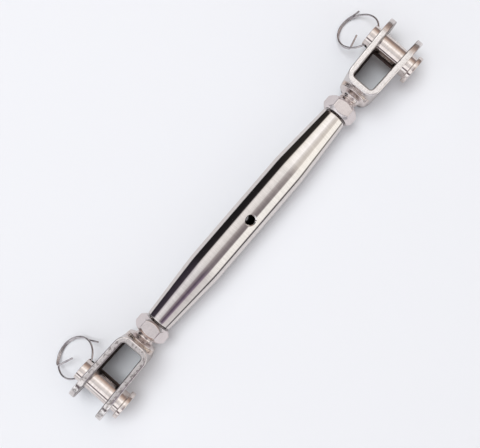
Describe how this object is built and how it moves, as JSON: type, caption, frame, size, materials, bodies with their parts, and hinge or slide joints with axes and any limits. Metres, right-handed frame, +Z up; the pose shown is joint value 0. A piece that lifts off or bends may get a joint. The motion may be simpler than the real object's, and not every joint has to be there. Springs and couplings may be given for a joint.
{
  "type": "rigging turnbuckle",
  "caption": "Closed-body rigging turnbuckle with a strap fork, clevis pin and split ring at each end; turning the body draws the forks together or lets them out.",
  "frame": {"origin": "centre of the cross hole, halfway along the body on its axis", "axes": "+X along the body towards the right-hand threaded end, +Y towards the split rings, +Z up from the surface that the forks lie on"},
  "size_m": [0.2515, 0.0457, 0.0266],
  "materials": {
    "body_polish": "mirror polished stainless steel with faint polishing lines round it",
    "stud_steel": "bright stainless steel, heat tinted brown on the collar",
    "fork_satin": "tumbled and lightly brushed stainless steel",
    "weld_metal": "cleaned weld with straw and blue heat tint",
    "nut_satin": "satin stainless steel",
    "pin_polish": "turned and polished stainless steel",
    "ring_wire": "drawn stainless spring wire"
  },
  "bodies": {
    "body": {"body_tube": "body_polish"},
    "right_stud": {"right_stud": "stud_steel"},
    "left_stud": {"left_stud": "stud_steel"},
    "right_fork": {"right_fork": "fork_satin", "right_weld": "weld_metal"},
    "left_fork": {"left_fork": "fork_satin", "left_weld": "weld_metal"},
    "right_lock_nut": {"right_lock_nut": "nut_satin"},
    "left_lock_nut": {"left_lock_nut": "nut_satin"},
    "right_clevis_pin": {"right_clevis_pin": "pin_polish"},
    "left_clevis_pin": {"left_clevis_pin": "pin_polish"},
    "right_split_ring": {"right_split_ring": "ring_wire"},
    "left_split_ring": {"left_split_ring": "ring_wire"}
  },
  "joints": [
    {"name": "right_stud_travel", "type": "slide", "parent": "body", "child": "right_stud", "axis": [1, 0, 0], "range_m": [0, 0.042]},
    {"name": "right_fork_turn", "type": "hinge", "parent": "right_stud", "child": "right_fork", "pos_m": [0.0875, 0, 0], "axis": [1, 0, 0], "range_deg": [0, 10080]},
    {"name": "right_nut_travel", "type": "slide", "parent": "body", "child": "right_lock_nut", "axis": [1, 0, 0], "range_m": [-0.0007, 0.0035]},
    {"name": "right_pin_play", "type": "slide", "parent": "right_fork", "child": "right_clevis_pin", "axis": [0, 1, 0], "range_m": [0, 0.0028]},
    {"name": "right_ring_swing", "type": "hinge", "parent": "right_clevis_pin", "child": "right_split_ring", "pos_m": [0.1136, 0.01209, 0], "axis": [1, 0, 0], "range_deg": [-52, 122]},
    {"name": "left_stud_travel", "type": "slide", "parent": "body", "child": "left_stud", "axis": [-1, 0, 0], "range_m": [0, 0.042]},
    {"name": "left_fork_turn", "type": "hinge", "parent": "left_stud", "child": "left_fork", "pos_m": [-0.0852, 0, 0], "axis": [1, 0, 0], "range_deg": [0, 10080]},
    {"name": "left_nut_travel", "type": "slide", "parent": "body", "child": "left_lock_nut", "axis": [-1, 0, 0], "range_m": [-0.0007, 0.0016]},
    {"name": "left_pin_play", "type": "slide", "parent": "left_fork", "child": "left_clevis_pin", "axis": [0, 1, 0], "range_m": [0, 0.0028]},
    {"name": "left_ring_swing", "type": "hinge", "parent": "left_clevis_pin", "child": "left_split_ring", "pos_m": [-0.1113, 0.01209, 0], "axis": [1, 0, 0], "range_deg": [-52, 122]}
  ],
  "couplings": [
    {"joint": "left_fork_turn", "follows": "right_fork_turn", "ratio": 1},
    {"joint": "right_stud_travel", "follows": "right_fork_turn", "m_per_rad": 0.00023873},
    {"joint": "left_stud_travel", "follows": "right_fork_turn", "m_per_rad": 0.00023873}
  ]
}
